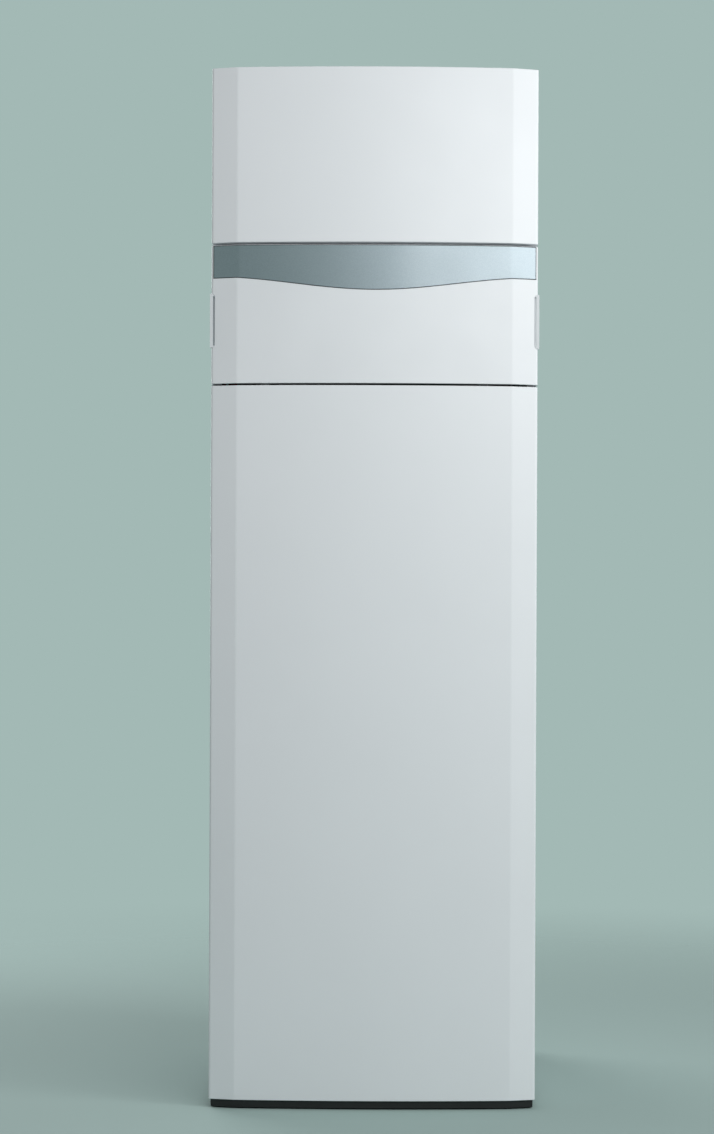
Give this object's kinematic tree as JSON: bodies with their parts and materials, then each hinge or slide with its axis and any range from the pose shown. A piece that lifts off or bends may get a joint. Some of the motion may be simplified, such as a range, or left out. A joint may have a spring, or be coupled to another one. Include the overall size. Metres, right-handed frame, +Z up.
{
  "type": "gas condensing boiler",
  "caption": "Floor-standing gas condensing boiler cabinet over a hot-water cylinder, with a bulged front, a fold-down control flap, levelling feet, coaxial flue collar and pipe stubs.",
  "frame": {"origin": "on the floor, under the middle of the casing", "axes": "+Z up, -Y out of the bulged front, +X to the right as seen from the front"},
  "size_m": [0.599, 0.693, 1.9853],
  "materials": {
    "white_paint": "smooth cool-white powder coat on sheet steel, satin gloss",
    "white_abs": "cool-white moulded plastic matched to the sheet-steel panels, satin gloss",
    "silver_trim": "silver-grey metallic lacquer on a moulded trim band",
    "pale_abs": "pale grey moulded plastic, fine satin grain",
    "dark_abs": "dark grey moulded plastic with a fine grain",
    "red_plastic": "red moulded plastic",
    "display_glass": "dark tinted display window",
    "clear_glass": "clear flat gauge lens",
    "black_steel": "matt black paint on sheet steel",
    "zinc_sheet": "zinc-plated sheet steel, dull",
    "stainless_steel": "stainless steel, as rolled",
    "cast_aluminium": "die-cast aluminium, lightly blasted",
    "pump_iron": "cast iron with dark cataphoretic paint",
    "brass_fitting": "machined brass",
    "copper_tube": "drawn copper tube with flat-faced unions",
    "red_enamel": "red stove enamel on pressed steel",
    "insulation_foam": "rigid pale foam shell",
    "electrode_ceramic": "glazed ceramic insulator",
    "foot_rubber": "black rubber-faced levelling foot"
  },
  "bodies": {
    "cabinet": {"base_frame": "black_steel", "left_side_panel": "white_paint", "right_side_panel": "white_paint", "rear_panel": "zinc_sheet", "top_cover": "white_paint", "module_shelf": "zinc_sheet", "upper_front_panel": "white_paint", "lower_front_panel": "white_paint", "panel_screw_left": "zinc_sheet", "panel_screw_right": "zinc_sheet", "flap_hinge_rod": "stainless_steel", "control_box": "dark_abs", "control_fascia": "dark_abs", "display_window": "display_glass", "gauge_body": "pale_abs", "gauge_lens": "clear_glass", "heat_exchanger": "stainless_steel", "burner_door": "cast_aluminium", "ignition_electrode": "electrode_ceramic", "fan_housing": "cast_aluminium", "gas_valve": "cast_aluminium", "flue_collar": "white_paint", "expansion_vessel": "red_enamel", "heating_pump": "pump_iron", "diverter_valve": "brass_fitting", "safety_valve": "brass_fitting", "air_vent": "brass_fitting", "condensate_trap": "pale_abs", "cylinder_tank": "stainless_steel", "cylinder_insulation": "insulation_foam", "cylinder_coil": "stainless_steel", "anode": "zinc_sheet", "drain_cock": "brass_fitting", "gas_pipe": "copper_tube", "heating_flow_pipe": "copper_tube", "heating_return_pipe": "copper_tube", "cold_water_pipe": "copper_tube", "hot_water_pipe": "copper_tube"},
    "flap": {"flap_shell": "white_abs", "flap_band": "silver_trim", "grip_left": "pale_abs", "grip_right": "pale_abs", "hinge_arm_left": "zinc_sheet", "hinge_arm_right": "zinc_sheet"},
    "left_key": {"key_left": "pale_abs"},
    "minus_key": {"key_minus": "pale_abs"},
    "reset_key": {"key_reset": "pale_abs"},
    "plus_key": {"key_plus": "pale_abs"},
    "right_key": {"key_right": "pale_abs"},
    "rocker": {"power_switch": "pale_abs"},
    "needle": {"gauge_needle": "red_plastic"},
    "impeller": {"fan_impeller": "cast_aluminium"},
    "rotor": {"pump_rotor": "stainless_steel"},
    "plunger": {"diverter_plunger": "stainless_steel"},
    "relief_knob": {"safety_valve_knob": "red_plastic"},
    "lever": {"drain_lever": "red_plastic"},
    "front_left_foot": {"foot_front_left": "foot_rubber"},
    "front_right_foot": {"foot_front_right": "foot_rubber"},
    "rear_left_foot": {"foot_rear_left": "foot_rubber"},
    "rear_right_foot": {"foot_rear_right": "foot_rubber"}
  },
  "joints": [
    {"name": "flap_hinge", "type": "hinge", "parent": "cabinet", "child": "flap", "pos_m": [0, -0.3219, 1.2807], "axis": [1, 0, 0], "range_deg": [0, 90]},
    {"name": "key_left_press", "type": "slide", "parent": "cabinet", "child": "left_key", "axis": [0, 1, 0], "range_m": [0, 0.001], "stiffness_N_per_m": 600},
    {"name": "key_minus_press", "type": "slide", "parent": "cabinet", "child": "minus_key", "axis": [0, 1, 0], "range_m": [0, 0.001], "stiffness_N_per_m": 600},
    {"name": "key_reset_press", "type": "slide", "parent": "cabinet", "child": "reset_key", "axis": [0, 1, 0], "range_m": [0, 0.001], "stiffness_N_per_m": 600},
    {"name": "key_plus_press", "type": "slide", "parent": "cabinet", "child": "plus_key", "axis": [0, 1, 0], "range_m": [0, 0.001], "stiffness_N_per_m": 600},
    {"name": "key_right_press", "type": "slide", "parent": "cabinet", "child": "right_key", "axis": [0, 1, 0], "range_m": [0, 0.001], "stiffness_N_per_m": 600},
    {"name": "power_rocker", "type": "hinge", "parent": "cabinet", "child": "rocker", "pos_m": [0.168, -0.306, 1.45], "axis": [1, 0, 0], "range_deg": [0, 16]},
    {"name": "gauge_needle_turn", "type": "hinge", "parent": "cabinet", "child": "needle", "pos_m": [-0.168, -0.3117, 1.45], "axis": [0, 1, 0], "range_deg": [0, 270], "stiffness_Nm_per_rad": 0.002},
    {"name": "fan_spin", "type": "hinge", "parent": "cabinet", "child": "impeller", "pos_m": [0, -0.18, 1.7155], "axis": [0, 1, 0], "continuous": true},
    {"name": "pump_spin", "type": "hinge", "parent": "cabinet", "child": "rotor", "pos_m": [-0.095, 0.06, 1.372], "axis": [0, 1, 0], "continuous": true},
    {"name": "diverter_slide", "type": "slide", "parent": "cabinet", "child": "plunger", "axis": [0, 1, 0], "range_m": [0, 0.022]},
    {"name": "relief_knob_turn", "type": "hinge", "parent": "cabinet", "child": "relief_knob", "pos_m": [0.1513, 0.05999, 1.4303], "axis": [0, 0, 1], "range_deg": [0, 90], "stiffness_Nm_per_rad": 0.05},
    {"name": "drain_lever_turn", "type": "hinge", "parent": "cabinet", "child": "lever", "pos_m": [0, -0.27025, 0.167], "axis": [0, 0, -1], "range_deg": [0, 90]},
    {"name": "foot_front_left_turn", "type": "hinge", "parent": "cabinet", "child": "front_left_foot", "pos_m": [-0.24, -0.2459, 0], "axis": [0, 0, 1], "continuous": true},
    {"name": "foot_front_right_turn", "type": "hinge", "parent": "cabinet", "child": "front_right_foot", "pos_m": [0.24, -0.2459, 0], "axis": [0, 0, 1], "continuous": true},
    {"name": "foot_rear_left_turn", "type": "hinge", "parent": "cabinet", "child": "rear_left_foot", "pos_m": [-0.24, 0.2865, 0], "axis": [0, 0, 1], "continuous": true},
    {"name": "foot_rear_right_turn", "type": "hinge", "parent": "cabinet", "child": "rear_right_foot", "pos_m": [0.24, 0.2865, 0], "axis": [0, 0, 1], "continuous": true}
  ]
}
